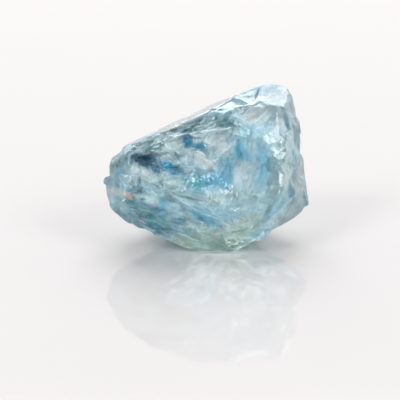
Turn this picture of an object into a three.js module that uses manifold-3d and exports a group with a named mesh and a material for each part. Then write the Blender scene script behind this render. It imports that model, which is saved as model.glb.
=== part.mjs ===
// A rough diamond: one lump of clear, pale crystal, about 25 mm long, as it was broken out of the
// ground. Flat breaks close it on every side. Hollow, shell-shaped breaks bite into them, some with
// fine ribs round the point where the blow fell. Thin plates and splinters have split off and left
// ledges, and one face still has the grooves that it grew with.
//
// Every break is given as it is seen from in front and a little above: x to the right, y up the
// view and z towards the viewer, in millimetres from the heart, a point inside the stone. The
// finished solid is then leaned back by that angle, so that its foot lies level at z = 0.

import * as THREE from 'three';
import { mergeVertices } from 'three/addons/utils/BufferGeometryUtils.js';
import Module from 'manifold-3d';

const wasm = await Module();
wasm.setup();

// ---- Driving dimensions: millimetres and degrees ----

const VIEW_DROP = 20;
const HEART = { x: 0.76, y: -0.66, z: 8.619 };
const BLOCK = 60;
const FOOT = 'foot';
const GROWN_FACE = 'striated_top';

// Flat breaks. Each faces along its bearing (0 is right, 90 is up), tipped towards the viewer by its
// tilt, and has its reach along the bearing at the depth given, counted towards the viewer.
const FLATS = [
  { name: 'striated_top', bearing: 114.4, tilt: 7, reach: 7.78, depth: -4 },
  { name: 'striated_back', bearing: 116.4, tilt: -40, reach: 7.78, depth: -4 },
  { name: 'top_strip', bearing: 110, tilt: 38, reach: 6.9, depth: 4 },
  { name: 'smooth_facet', bearing: 86, tilt: 52, reach: 6.9, depth: 5 },
  { name: 'crown_front', bearing: 86, tilt: 36, reach: 11.1, depth: -1 },
  { name: 'crown_back', bearing: 94, tilt: -28, reach: 10.8, depth: -1.5 },
  { name: 'crown_corner_front', bearing: 47, tilt: 22, reach: 15.2, depth: -1.5 },
  { name: 'crown_corner_back', bearing: 46, tilt: -36, reach: 15.2, depth: -1.5 },
  { name: 'right_high_front', bearing: 14, tilt: 30, reach: 12.1, depth: -1 },
  { name: 'right_high_back', bearing: 14, tilt: -30, reach: 12.1, depth: -1 },
  { name: 'right_mid_front', bearing: 5, tilt: 28, reach: 11.85, depth: -0.8 },
  { name: 'right_mid_back', bearing: 4, tilt: -38, reach: 11.85, depth: -0.8 },
  { name: 'right_low_front', bearing: -20, tilt: 33, reach: 13.8, depth: 0 },
  { name: 'right_low_back', bearing: -20, tilt: -28, reach: 13.75, depth: 0 },
  { name: 'right_foot_front', bearing: -42, tilt: 38, reach: 13.2, depth: 0.3 },
  { name: 'right_foot_back', bearing: -42, tilt: -28, reach: 13.2, depth: 0.3 },
  { name: 'low_right_front', bearing: -64, tilt: 36, reach: 10.08, depth: 1 },
  { name: 'low_right_back', bearing: -64, tilt: -24, reach: 9.98, depth: 1 },
  { name: 'foot', bearing: -90, tilt: -20, reach: 9.9, depth: 2 },
  { name: 'keel_front', bearing: -82, tilt: 46, reach: 9.95, depth: 2 },
  { name: 'low_left_front', bearing: -104, tilt: 50, reach: 9.8, depth: 1.6 },
  { name: 'low_left_side', bearing: -114, tilt: 38, reach: 10.2, depth: 1 },
  { name: 'low_left_back', bearing: -114, tilt: -22, reach: 10.1, depth: 1 },
  { name: 'left_foot_front', bearing: -124, tilt: 33, reach: 11.9, depth: 0.4 },
  { name: 'left_foot_back', bearing: -124, tilt: -30, reach: 11.8, depth: 0.4 },
  { name: 'left_low_front', bearing: -167, tilt: 38, reach: 13.65, depth: 0 },
  { name: 'left_low_back', bearing: -167, tilt: -40, reach: 13.65, depth: 0 },
  { name: 'left_wall_front', bearing: 179, tilt: 36, reach: 13.8, depth: -0.3 },
  { name: 'left_wall_back', bearing: 179, tilt: -38, reach: 13.8, depth: -0.3 },
  { name: 'left_brow_front', bearing: 125, tilt: 20, reach: 9.15, depth: -1 },
  { name: 'left_brow_back', bearing: 125, tilt: -30, reach: 9.15, depth: -1 },
  { name: 'front_left', bearing: 118, tilt: 76, reach: 0, depth: 6.8 },
  { name: 'front_right', bearing: 24, tilt: 70, reach: 0, depth: 7.3 },
  { name: 'front_low', bearing: -96, tilt: 50, reach: 9.88, depth: 2.1 },
  { name: 'front_tip', bearing: -178, tilt: 52, reach: 9.8, depth: 4 },
  { name: 'back_main', bearing: -100, tilt: -84, reach: 0, depth: -7.8 },
  { name: 'back_high', bearing: 80, tilt: -58, reach: 6.9, depth: -6.8 },
  { name: 'back_low', bearing: -88, tilt: -52, reach: 7, depth: -6.2 },
  { name: 'back_right', bearing: 10, tilt: -60, reach: 7.5, depth: -6.4 },
  { name: 'back_left', bearing: 172, tilt: -56, reach: 7.8, depth: -5.6 },
  { name: 'back_low_right', bearing: -38, tilt: -55, reach: 8.4, depth: -6 },
  { name: 'back_low_left', bearing: -140, tilt: -54, reach: 8, depth: -5.8 },
  { name: 'crown_slope', bearing: 109, tilt: 4, reach: 8.36, depth: -2 },
];

// Hollow breaks: each is where a ball of this radius bites in. Ribs run round the point of the blow.
const SCOOPS = [
  {
    name: 'front_bowl', centre: [6.4, 0.9, 19.6], radius: 15.4,
    ribs: { strike: [9.4, 6, 3], pitch: 1.5, height: 0.035 },
  },
  { name: 'flake_scar', centre: [3.9, -1.1, 9.2], radius: 5 },
  { name: 'flake_tail', centre: [4.4, -0.1, 9.05], radius: 5 },
  { name: 'white_pocket', centre: [0.9, 4.2, 8.3], radius: 3 },
  { name: 'feather_scar', centre: [-1.2, 1.2, 11], radius: 4.8 },
  { name: 'mid_scar', centre: [-3.8, -0.9, 12.4], radius: 6.2 },
  {
    name: 'low_bowl', centre: [-1.4, -10.4, 13.2], radius: 9.6,
    ribs: { strike: [-5, -5, 5], pitch: 1.1, height: 0.035 },
  },
  { name: 'lobe_scar', centre: [-9.6, -6.6, 8.9], radius: 5.4 },
  { name: 'low_flake_left', centre: [-5.3, -7.8, 7.7], radius: 4.5 },
  { name: 'low_flake_right', centre: [0.2, -7.7, 6.6], radius: 3.2 },
  {
    name: 'crown_bowl', centre: [6.4, 9.4, 11.6], radius: 9,
    ribs: { strike: [4, 9, 3], pitch: 1, height: 0.05 },
  },
  { name: 'crown_scar', centre: [8.4, 6.6, 7.6], radius: 4.4 },
  { name: 'strip_bite', centre: [-4.4, 8.2, 8.6], radius: 4.9 },
  { name: 'rim_bite', centre: [12.6, -2.6, 7.6], radius: 5.4 },
  { name: 'keel_scar', centre: [6.2, -8, 8.8], radius: 5.6 },
  { name: 'right_bite', centre: [13.1, 3.4, 0.6], radius: 2.45 },
  { name: 'right_low_bite', centre: [12.9, -9.4, 2.4], radius: 4.5 },
  { name: 'left_low_bite', centre: [-14.6, -7.9, 0.6], radius: 4.2 },
  {
    name: 'back_bowl', centre: [3, 3, -25.4], radius: 18.9,
    ribs: { strike: [9, 8, -6], pitch: 1.4, height: 0.04 },
  },
  { name: 'back_left_bowl', centre: [-8.2, -1.5, -13.8], radius: 8.6 },
  {
    name: 'back_low_bowl', centre: [6, -9.4, -12.6], radius: 7.4,
    ribs: { strike: [8, -4, -7], pitch: 1.1, height: 0.04 },
  },
  { name: 'back_crown_bowl', centre: [3.6, 12.6, -9], radius: 7.2 },
];

// Ledges: what lies beyond all of these planes at once has broken away.
const LEDGES = [
  {
    name: 'under_ridge',
    planes: [
      { bearing: -97, tilt: 57, reach: 9.62, depth: 2 },
      { bearing: -93, tilt: 5, reach: 2.95, depth: 5 },
      { bearing: -120, tilt: 5, reach: 4.1, depth: 5 },
    ],
  },
  {
    name: 'dark_hollow',
    planes: [
      { bearing: -93, tilt: 25, reach: -1.5, depth: 4.9 },
      { bearing: 73, tilt: 50, reach: -2.6, depth: 5.2 },
      { bearing: 165, tilt: 50, reach: 5.7, depth: 5.6 },
      { bearing: 8, tilt: 40, reach: -9.75, depth: 4.2 },
    ],
  },
  {
    name: 'blue_pocket',
    planes: [
      { bearing: -112, tilt: 25, reach: -3.2, depth: 5.7 },
      { bearing: 58, tilt: 48, reach: 1.25, depth: 5.7 },
      { bearing: 10, tilt: 45, reach: -3.05, depth: 5.7 },
      { bearing: -170, tilt: 48, reach: 0.45, depth: 5.8 },
    ],
  },
  {
    name: 'right_step',
    planes: [
      { bearing: 0, tilt: 0, reach: 10.75, depth: 0 },
      { bearing: 85, tilt: 0, reach: 3.13, depth: 0 },
      { bearing: -65, tilt: 0, reach: 0.24, depth: 0 },
    ],
  },
  {
    name: 'brow_step',
    planes: [
      { bearing: 180, tilt: 0, reach: 12.3, depth: 0 },
      { bearing: 90, tilt: 6, reach: -0.55, depth: 0 },
    ],
  },
  {
    name: 'knob_top',
    planes: [
      { bearing: 142, tilt: 4, reach: 9.75, depth: 0 },
      { bearing: -90, tilt: 0, reach: 0.3, depth: 0 },
    ],
  },
  {
    name: 'knob_foot',
    planes: [
      { bearing: -140, tilt: 4, reach: 11.45, depth: 0 },
      { bearing: 90, tilt: 0, reach: -2.35, depth: 0 },
    ],
  },
  {
    name: 'under_knob',
    planes: [
      { bearing: 176, tilt: 14, reach: 12.75, depth: 0 },
      { bearing: -90, tilt: 8, reach: 2.2, depth: 0 },
    ],
  },
  {
    name: 'box_step',
    planes: [
      { bearing: 180, tilt: 40, reach: 11, depth: 3 },
      { bearing: 92, tilt: 4, reach: -0.2, depth: 0 },
    ],
  },
  {
    name: 'strip_ledge',
    planes: [
      { bearing: 112, tilt: 74, reach: 0, depth: 6.1 },
      { bearing: 111, tilt: 20, reach: 5.6, depth: 5 },
    ],
  },
  {
    name: 'pocket_ledge',
    planes: [
      { bearing: 104, tilt: 70, reach: 0, depth: 6.3 },
      { bearing: 97, tilt: 10, reach: 4.9, depth: 5 },
      { bearing: 8, tilt: 20, reach: -3.6, depth: 5 },
    ],
  },
  {
    name: 'crown_ledge',
    planes: [
      { bearing: 60, tilt: 60, reach: 9.4, depth: 3.6 },
      { bearing: 30, tilt: 10, reach: 8.9, depth: 3 },
    ],
  },
  {
    name: 'rim_ledge',
    planes: [
      { bearing: 8, tilt: 46, reach: 10, depth: 2.6 },
      { bearing: -4, tilt: 8, reach: 9.4, depth: 3 },
    ],
  },
  {
    name: 'low_rim_ledge',
    planes: [
      { bearing: -30, tilt: 48, reach: 9.6, depth: 3 },
      { bearing: -42, tilt: 12, reach: 9.2, depth: 3 },
    ],
  },
  {
    name: 'keel_ledge',
    planes: [
      { bearing: -100, tilt: 64, reach: 9.6, depth: 1.95 },
      { bearing: -128, tilt: 14, reach: 6, depth: 3.5 },
      { bearing: -60, tilt: 14, reach: 4.6, depth: 3.5 },
    ],
  },
  {
    name: 'low_ledge',
    planes: [
      { bearing: -104, tilt: 58, reach: 9.45, depth: 1.7 },
      { bearing: -106, tilt: 10, reach: 7.4, depth: 3 },
    ],
  },
  {
    name: 'mid_ledge',
    planes: [
      { bearing: -97, tilt: 62, reach: 9.3, depth: 1.7 },
      { bearing: -118, tilt: 12, reach: 5, depth: 4 },
      { bearing: -150, tilt: 10, reach: 2.6, depth: 4 },
    ],
  },
  {
    name: 'left_low_ledge',
    planes: [
      { bearing: -150, tilt: 46, reach: 10.6, depth: 2 },
      { bearing: -112, tilt: 8, reach: 7.6, depth: 3 },
    ],
  },
  {
    name: 'back_step',
    planes: [
      { bearing: -100, tilt: -84, reach: 0, depth: -7.2 },
      { bearing: 55, tilt: -8, reach: 2.4, depth: -6 },
    ],
  },
  {
    name: 'back_high_step',
    planes: [
      { bearing: 80, tilt: -58, reach: 6.3, depth: -6.8 },
      { bearing: 165, tilt: -10, reach: 1.6, depth: -6 },
    ],
  },
  {
    name: 'back_left_step',
    planes: [
      { bearing: 172, tilt: -56, reach: 7.2, depth: -5.6 },
      { bearing: -130, tilt: -20, reach: 6.4, depth: -5 },
    ],
  },
  {
    name: 'back_low_step',
    planes: [
      { bearing: -88, tilt: -52, reach: 6.4, depth: -6.2 },
      { bearing: -30, tilt: -20, reach: 3.4, depth: -5 },
    ],
  },
];

// Small cuts that repeat all over the stone. Each lies between its shallow depth and that plus the
// extra; wallLean is how far a ledge's wall leans out, and drift how far, in widths of the flat, the
// corner of a plate wanders from the middle.
const CHIPS = { count: 90, shallow: 0.1, extra: 0.32 };
const SPLINTERS = { count: 60, shallow: 0.25, extra: 0.6, wallIn: 0.35, wallLean: 14 };
const PLATES = {
  perFlat: 3, shallow: 0.16, extra: 0.26, wallLean: 16, drift: 0.35, floorTip: 3,
  narrowest: 1.1, wider: 0.9,
};
const GROOVES = {
  count: 9, first: -4.6, span: 9, unevenness: 0.35, deepest: 0.16, leastShare: 0.45, opening: 118,
};

// Steps that scatter a repeated cut's values evenly from 0 to 1, and its turn, in radians.
const SCATTER = { depth: 0.7548, chipDepth: 2.7508, tip: 0.31, width: 0.57, place: 0.618 };
const TURN = 2.4;

// How finely the balls of the hollow breaks are faceted.
const RIB_STEPS = 6;
const SMOOTH_STEP = 1.3;
const FEWEST_STEPS = 24;

// A break may not face the foot by more than this, so that the stone keeps a flat to lie on.
const FOOT_CLEAR = 0.82;
const ON_THE_PLANE = 1e-3;

// Past this cosine a direction counts as facing the viewer.
const FACES_VIEWER = 0.9;

const COLOUR = 0x9fc6d2;
const ROUGHNESS = 0.2;

// ---- Directions, planes and even spreads ----

const GOLDEN = (1 + Math.sqrt(5)) / 2;
const TOWARDS_VIEWER = new THREE.Vector3(0, 0, 1);
const TO_THE_RIGHT = new THREE.Vector3(1, 0, 0);

function facing(bearing, tilt) {
  const b = THREE.MathUtils.degToRad(bearing);
  const t = THREE.MathUtils.degToRad(tilt);
  return new THREE.Vector3(Math.cos(t) * Math.cos(b), Math.cos(t) * Math.sin(b), Math.sin(t));
}

const FOOT_FACING = facing(-90, -VIEW_DROP);

// The plane of a break that is given by bearing, tilt, reach and depth.
function breakPlane({ bearing, tilt, reach, depth }) {
  const t = THREE.MathUtils.degToRad(tilt);
  return new THREE.Plane(facing(bearing, tilt), -(Math.cos(t) * reach + Math.sin(t) * depth));
}

function planeThrough(normal, point, inward = 0) {
  return new THREE.Plane(normal, inward - normal.dot(point));
}

// A number from 0 to 1 that jumps about evenly as i counts up.
function scatter(i, step) {
  return (i * step) % 1;
}

// Directions spread evenly over a ball, on a spiral from front to back.
function spiral(i, count) {
  const z = 1 - (2 * i + 1) / count;
  const turn = (2 * Math.PI * i) / GOLDEN;
  const wide = Math.sqrt(1 - z * z);
  return new THREE.Vector3(wide * Math.cos(turn), wide * Math.sin(turn), z);
}

// A unit vector square to the normal, turned about it.
function sideways(normal, turn) {
  const start = Math.abs(normal.z) < FACES_VIEWER ? TOWARDS_VIEWER : TO_THE_RIGHT;
  const a = new THREE.Vector3().crossVectors(normal, start).normalize();
  const b = new THREE.Vector3().crossVectors(normal, a);
  return a.multiplyScalar(Math.cos(turn)).addScaledVector(b, Math.sin(turn));
}

// The side direction, leaned towards the normal by so many degrees.
function leaning(normal, side, degrees) {
  const t = THREE.MathUtils.degToRad(degrees);
  return side.clone().multiplyScalar(Math.cos(t)).addScaledVector(normal, Math.sin(t));
}

// ---- Solids ----

// A closed solid from a geometry, without the thin triangles that a lathe leaves at its poles.
function toSolid(geometry) {
  geometry.deleteAttribute('normal');
  geometry.deleteAttribute('uv');
  const merged = mergeVertices(geometry);
  const triangles = [];
  for (let i = 0; i < merged.index.count; i += 3) {
    const [a, b, c] = [0, 1, 2].map((k) => merged.index.getX(i + k));
    if (a !== b && b !== c && c !== a) triangles.push(a, b, c);
  }
  const mesh = new wasm.Mesh({
    numProp: 3,
    vertProperties: new Float32Array(merged.attributes.position.array),
    triVerts: new Uint32Array(triangles),
  });
  return new wasm.Manifold(mesh);
}

// Everything beyond a plane, as a block that is larger than the stone.
function beyond(plane) {
  const block = new THREE.BoxGeometry(BLOCK, BLOCK, BLOCK);
  block.translate(0, 0, BLOCK / 2);
  block.applyQuaternion(new THREE.Quaternion().setFromUnitVectors(TOWARDS_VIEWER, plane.normal));
  const nearest = plane.normal.clone().multiplyScalar(-plane.constant);
  block.translate(nearest.x, nearest.y, nearest.z);
  return toSolid(block);
}

function beyondAll(planes) {
  return planes.map(beyond).reduce((both, next) => both.intersect(next));
}

function cornersOf(solid) {
  const { vertProperties, numProp } = solid.getMesh();
  const corners = [];
  for (let i = 0; i < vertProperties.length; i += numProp) {
    corners.push(new THREE.Vector3(...vertProperties.slice(i, i + 3)));
  }
  return corners;
}

function furthest(corners, direction) {
  return corners.reduce((best, p) => (p.dot(direction) > best.dot(direction) ? p : best));
}

// ---- Breaks ----

// The block that is left when every flat break has been made.
function cleavedBlock() {
  let solid = toSolid(new THREE.BoxGeometry(BLOCK, BLOCK, BLOCK));
  for (const flat of FLATS) solid = solid.subtract(beyond(breakPlane(flat)));
  return solid;
}

// A ball to bite with. Its half outline is turned about the line from its centre to the blow, and
// waves in and out along the way where it has ribs.
function scoopBall({ centre, radius, ribs }) {
  const middle = new THREE.Vector3(...centre);
  const strike = new THREE.Vector3(...(ribs ? ribs.strike : [0, 0, 0])).sub(middle).normalize();
  const pitch = ribs ? ribs.pitch : radius;
  const height = ribs ? ribs.height : 0;
  const arc = Math.PI * radius;
  const plain = Math.max(FEWEST_STEPS, arc / SMOOTH_STEP);
  const steps = Math.round(ribs ? (RIB_STEPS * arc) / pitch : plain);
  const outline = [];
  for (let i = 0; i <= steps; i += 1) {
    const angle = (Math.PI * i) / steps;
    const r = radius + height * Math.cos((2 * Math.PI * angle * radius) / pitch);
    const onAxis = i === 0 || i === steps;
    outline.push(new THREE.Vector2(onAxis ? 0 : r * Math.sin(angle), -r * Math.cos(angle)));
  }
  const around = Math.round(Math.max(FEWEST_STEPS, (2 * arc) / SMOOTH_STEP));
  const ball = new THREE.LatheGeometry(outline, around);
  const down = new THREE.Vector3(0, -1, 0);
  ball.applyQuaternion(new THREE.Quaternion().setFromUnitVectors(down, strike));
  ball.translate(middle.x, middle.y, middle.z);
  return toSolid(ball);
}

// Small flats that blunt the corners of the block.
function chipPlanes(corners) {
  const planes = [];
  for (let i = 0; i < CHIPS.count; i += 1) {
    const out = spiral(i, CHIPS.count);
    if (out.dot(FOOT_FACING) >= FOOT_CLEAR) continue;
    const inward = CHIPS.shallow + CHIPS.extra * scatter(i, SCATTER.chipDepth) ** 2;
    planes.push(planeThrough(out, furthest(corners, out), inward));
  }
  return planes;
}

// Splinters off the corners: each leaves a floor that looks outwards and one steep wall.
function splinterPlanes(corners) {
  const cuts = [];
  for (let i = 0; i < SPLINTERS.count; i += 1) {
    const out = spiral(i, SPLINTERS.count);
    if (out.dot(FOOT_FACING) > FOOT_CLEAR) continue;
    const corner = furthest(corners, out);
    const inward = SPLINTERS.shallow + SPLINTERS.extra * scatter(i, SCATTER.depth);
    const wall = leaning(out, sideways(out, i * TURN), SPLINTERS.wallLean);
    cuts.push([planeThrough(out, corner, inward), planeThrough(wall, corner, SPLINTERS.wallIn)]);
  }
  return cuts;
}

// Thin plates off each flat break: each leaves a floor just under the flat and two steep walls.
function platePlanes(corners) {
  const cuts = [];
  FLATS.forEach((item, index) => {
    if (item.name === FOOT || item.name === GROWN_FACE) return;
    const flat = breakPlane(item);
    const rim = corners.filter((p) => Math.abs(flat.distanceToPoint(p)) < ON_THE_PLANE);
    if (rim.length < 3) return;
    const middle = new THREE.Box3().setFromPoints(rim).getCenter(new THREE.Vector3());
    middle.addScaledVector(flat.normal, -flat.distanceToPoint(middle));
    const width = Math.max(...rim.map((p) => p.distanceTo(middle)));
    for (let j = 0; j < PLATES.perFlat; j += 1) {
      const i = index * PLATES.perFlat + j;
      const turn = i * TURN;
      const tip = 90 - PLATES.floorTip * scatter(i, SCATTER.tip);
      const floor = leaning(flat.normal, sideways(flat.normal, turn + 1), tip);
      const opening = PLATES.narrowest + PLATES.wider * scatter(i, SCATTER.width);
      const wallA = leaning(flat.normal, sideways(flat.normal, turn), PLATES.wallLean);
      const wallB = leaning(flat.normal, sideways(flat.normal, turn + opening), PLATES.wallLean);
      const meeting = middle.clone().addScaledVector(
        sideways(flat.normal, turn + 2),
        PLATES.drift * width * scatter(i, SCATTER.place),
      );
      const inward = PLATES.shallow + PLATES.extra * scatter(i, SCATTER.depth);
      cuts.push([
        planeThrough(floor, middle, inward),
        planeThrough(wallA, meeting),
        planeThrough(wallB, meeting),
      ]);
    }
  });
  return cuts;
}

// Growth grooves: shallow V cuts side by side, all along the one face that was never broken.
function groovePlanes() {
  const face = breakPlane(FLATS.find(({ name }) => name === GROWN_FACE));
  const along = new THREE.Vector3().crossVectors(face.normal, TOWARDS_VIEWER).normalize();
  const across = new THREE.Vector3().crossVectors(face.normal, along);
  const lean = 90 - GROOVES.opening / 2;
  const cuts = [];
  for (let i = 0; i < GROOVES.count; i += 1) {
    const uneven = i + GROOVES.unevenness * Math.sin(TURN * i);
    const place = GROOVES.first + (GROOVES.span * uneven) / (GROOVES.count - 1);
    const share = THREE.MathUtils.lerp(GROOVES.leastShare, 1, scatter(i, SCATTER.depth));
    const inward = GROOVES.deepest * share;
    const bottom = face.normal.clone().multiplyScalar(-face.constant - inward);
    bottom.addScaledVector(across, place);
    const walls = [across, across.clone().negate()].map((side) => leaning(side, face.normal, lean));
    cuts.push(walls.map((wall) => planeThrough(wall, bottom)));
  }
  return cuts;
}

// ---- The stone ----

function stoneSolid() {
  const block = cleavedBlock();
  const corners = cornersOf(block);
  const wedges = [
    ...LEDGES.map(({ planes }) => planes.map(breakPlane)),
    ...platePlanes(corners),
    ...splinterPlanes(corners),
    ...groovePlanes(),
    ...chipPlanes(corners).map((plane) => [plane]),
  ];
  const bites = [...SCOOPS.map(scoopBall), ...wedges.map(beyondAll)];
  return bites.reduce((solid, bite) => solid.subtract(bite), block);
}

function toGeometry(solid) {
  const { vertProperties, triVerts, numProp } = solid.getMesh();
  const geometry = new THREE.BufferGeometry();
  const positions = new THREE.InterleavedBuffer(vertProperties, numProp);
  geometry.setAttribute('position', new THREE.InterleavedBufferAttribute(positions, 3, 0));
  geometry.setIndex(new THREE.BufferAttribute(triVerts, 1));
  return geometry;
}

function buildStone() {
  const crystal = new THREE.MeshStandardMaterial({
    color: COLOUR,
    roughness: ROUGHNESS,
    metalness: 0,
    flatShading: true,
  });
  const stone = new THREE.Mesh(toGeometry(stoneSolid()), crystal);
  stone.name = 'rough_diamond';
  stone.rotation.x = THREE.MathUtils.degToRad(90 - VIEW_DROP);
  stone.position.set(HEART.x, HEART.y, HEART.z);
  return stone;
}

const part = new THREE.Group();
part.name = 'part';
part.add(buildStone());

export default part;
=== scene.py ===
"""A rough stone: one lump of clear, pale blue crystal, as it was broken, lying on a pale floor.

The stone is worked out in the front frame: x to the right, y up the view and z towards the viewer,
in millimetres from the heart, a point inside the stone. It is then leaned back by VIEW_DROP, so
that its foot lies level, and set in metres.
"""

import functools
import itertools
import math
from collections import namedtuple

import bpy
import numpy as np
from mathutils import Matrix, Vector


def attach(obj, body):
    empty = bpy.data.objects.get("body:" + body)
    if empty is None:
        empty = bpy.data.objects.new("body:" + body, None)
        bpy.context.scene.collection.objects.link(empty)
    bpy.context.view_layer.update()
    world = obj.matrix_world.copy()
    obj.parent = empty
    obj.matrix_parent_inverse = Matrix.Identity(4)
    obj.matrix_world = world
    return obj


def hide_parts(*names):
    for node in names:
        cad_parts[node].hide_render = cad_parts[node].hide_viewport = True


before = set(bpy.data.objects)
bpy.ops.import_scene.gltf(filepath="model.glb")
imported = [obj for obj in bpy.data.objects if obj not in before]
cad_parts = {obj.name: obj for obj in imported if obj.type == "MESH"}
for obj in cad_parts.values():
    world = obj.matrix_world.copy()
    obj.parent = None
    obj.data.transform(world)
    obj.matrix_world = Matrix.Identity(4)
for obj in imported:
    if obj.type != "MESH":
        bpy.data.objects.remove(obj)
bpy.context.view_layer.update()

# ---- Driving dimensions: millimetres and degrees ----

MM = 0.001
VIEW_DROP = 20
HEART = (0.76, -0.66, 8.619)

# Steps along each edge of the grid that the stone's skin is made from.
GRID = 128

# Flat breaks: bearing (0 is right, 90 is up), tilt towards the viewer, and the reach along the
# bearing at a depth, counted towards the viewer.
FLATS = {
    "striated_top": (114.4, 7, 7.78, -4),
    "striated_back": (116.4, -40, 7.78, -4),
    "top_strip": (110, 38, 6.9, 4),
    "smooth_facet": (86, 52, 6.9, 5),
    "crown_front": (86, 36, 11.1, -1),
    "crown_back": (94, -28, 10.8, -1.5),
    "crown_corner_front": (47, 22, 15.2, -1.5),
    "crown_corner_back": (46, -36, 15.2, -1.5),
    "right_high_front": (14, 30, 12.1, -1),
    "right_high_back": (14, -30, 12.1, -1),
    "right_mid_front": (5, 28, 11.85, -0.8),
    "right_mid_back": (4, -38, 11.85, -0.8),
    "right_low_front": (-20, 33, 13.8, 0),
    "right_low_back": (-20, -28, 13.75, 0),
    "right_foot_front": (-42, 38, 13.2, 0.3),
    "right_foot_back": (-42, -28, 13.2, 0.3),
    "low_right_front": (-64, 36, 10.08, 1),
    "low_right_back": (-64, -24, 9.98, 1),
    "foot": (-90, -20, 9.9, 2),
    "keel_front": (-82, 46, 9.95, 2),
    "low_left_front": (-104, 50, 9.8, 1.6),
    "low_left_side": (-114, 38, 10.2, 1),
    "low_left_back": (-114, -22, 10.1, 1),
    "left_foot_front": (-124, 33, 11.9, 0.4),
    "left_foot_back": (-124, -30, 11.8, 0.4),
    "left_low_front": (-167, 38, 13.65, 0),
    "left_low_back": (-167, -40, 13.65, 0),
    "left_wall_front": (179, 36, 13.8, -0.3),
    "left_wall_back": (179, -38, 13.8, -0.3),
    "left_brow_front": (125, 20, 9.15, -1),
    "left_brow_back": (125, -30, 9.15, -1),
    "front_left": (118, 76, 0, 6.8),
    "front_right": (24, 70, 0, 7.3),
    "front_low": (-96, 50, 9.88, 2.1),
    "front_tip": (-178, 52, 9.8, 4),
    "back_main": (-100, -84, 0, -7.8),
    "back_high": (80, -58, 6.9, -6.8),
    "back_low": (-88, -52, 7, -6.2),
    "back_right": (10, -60, 7.5, -6.4),
    "back_left": (172, -56, 7.8, -5.6),
    "back_low_right": (-38, -55, 8.4, -6),
    "back_low_left": (-140, -54, 8, -5.8),
    "crown_slope": (109, 4, 8.36, -2),
}

# Hollow breaks: each is where a ball with this centre and radius bites in.
SCOOPS = {
    "front_bowl": ((6.4, 0.9, 19.6), 15.4),
    "flake_scar": ((3.9, -1.1, 9.2), 5),
    "flake_tail": ((4.4, -0.1, 9.05), 5),
    "white_pocket": ((0.9, 4.2, 8.3), 3),
    "feather_scar": ((-1.2, 1.2, 11), 4.8),
    "mid_scar": ((-3.8, -0.9, 12.4), 6.2),
    "low_bowl": ((-1.4, -10.4, 13.2), 9.6),
    "lobe_scar": ((-9.6, -6.6, 8.9), 5.4),
    "low_flake_left": ((-5.3, -7.8, 7.7), 4.5),
    "low_flake_right": ((0.2, -7.7, 6.6), 3.2),
    "crown_bowl": ((6.4, 9.4, 11.6), 9),
    "crown_scar": ((8.4, 6.6, 7.6), 4.4),
    "strip_bite": ((-4.4, 8.2, 8.6), 4.9),
    "rim_bite": ((12.6, -2.6, 7.6), 5.4),
    "keel_scar": ((6.2, -8, 8.8), 5.6),
    "right_bite": ((13.1, 3.4, 0.6), 2.45),
    "right_low_bite": ((12.9, -9.4, 2.4), 4.5),
    "left_low_bite": ((-14.6, -7.9, 0.6), 4.2),
    "back_bowl": ((3, 3, -25.4), 18.9),
    "back_left_bowl": ((-8.2, -1.5, -13.8), 8.6),
    "back_low_bowl": ((6, -9.4, -12.6), 7.4),
    "back_crown_bowl": ((3.6, 12.6, -9), 7.2),
}

# Ribs in some hollows: the point of the blow that they run round, their pitch and height.
RIBS = {
    "front_bowl": ((9.4, 6, 3), 1.5, 0.035),
    "crown_bowl": ((4, 9, 3), 1, 0.05),
    "low_bowl": ((-5, -5, 5), 1.1, 0.035),
    "back_bowl": ((9, 8, -6), 1.4, 0.04),
    "back_low_bowl": ((8, -4, -7), 1.1, 0.04),
}

# Ledges: what lies beyond all of these planes at once has broken away.
LEDGES = {
    "under_ridge": ((-97, 57, 9.62, 2), (-93, 5, 2.95, 5), (-120, 5, 4.1, 5)),
    "dark_hollow": ((-93, 25, -1.5, 4.9), (73, 50, -2.6, 5.2), (165, 50, 5.7, 5.6), (8, 40, -9.75, 4.2)),
    "blue_pocket": (
        (-112, 25, -3.2, 5.7), (58, 48, 1.25, 5.7),
        (10, 45, -3.05, 5.7), (-170, 48, 0.45, 5.8),
    ),
    "right_step": ((0, 0, 10.75, 0), (85, 0, 3.13, 0), (-65, 0, 0.24, 0)),
    "brow_step": ((180, 0, 12.3, 0), (90, 6, -0.55, 0)),
    "knob_top": ((142, 4, 9.75, 0), (-90, 0, 0.3, 0)),
    "knob_foot": ((-140, 4, 11.45, 0), (90, 0, -2.35, 0)),
    "under_knob": ((176, 14, 12.75, 0), (-90, 8, 2.2, 0)),
    "box_step": ((180, 40, 11, 3), (92, 4, -0.2, 0)),
    "strip_ledge": ((112, 74, 0, 6.1), (111, 20, 5.6, 5)),
    "pocket_ledge": ((104, 70, 0, 6.3), (97, 10, 4.9, 5), (8, 20, -3.6, 5)),
    "crown_ledge": ((60, 60, 9.4, 3.6), (30, 10, 8.9, 3)),
    "rim_ledge": ((8, 46, 10, 2.6), (-4, 8, 9.4, 3)),
    "low_rim_ledge": ((-30, 48, 9.6, 3), (-42, 12, 9.2, 3)),
    "keel_ledge": ((-100, 64, 9.6, 1.95), (-128, 14, 6, 3.5), (-60, 14, 4.6, 3.5)),
    "low_ledge": ((-104, 58, 9.45, 1.7), (-106, 10, 7.4, 3)),
    "mid_ledge": ((-97, 62, 9.3, 1.7), (-118, 12, 5, 4), (-150, 10, 2.6, 4)),
    "left_low_ledge": ((-150, 46, 10.6, 2), (-112, 8, 7.6, 3)),
    "back_step": ((-100, -84, 0, -7.2), (55, -8, 2.4, -6)),
    "back_high_step": ((80, -58, 6.3, -6.8), (165, -10, 1.6, -6)),
    "back_left_step": ((172, -56, 7.2, -5.6), (-130, -20, 6.4, -5)),
    "back_low_step": ((-88, -52, 6.4, -6.2), (-30, -20, 3.4, -5)),
}

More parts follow.
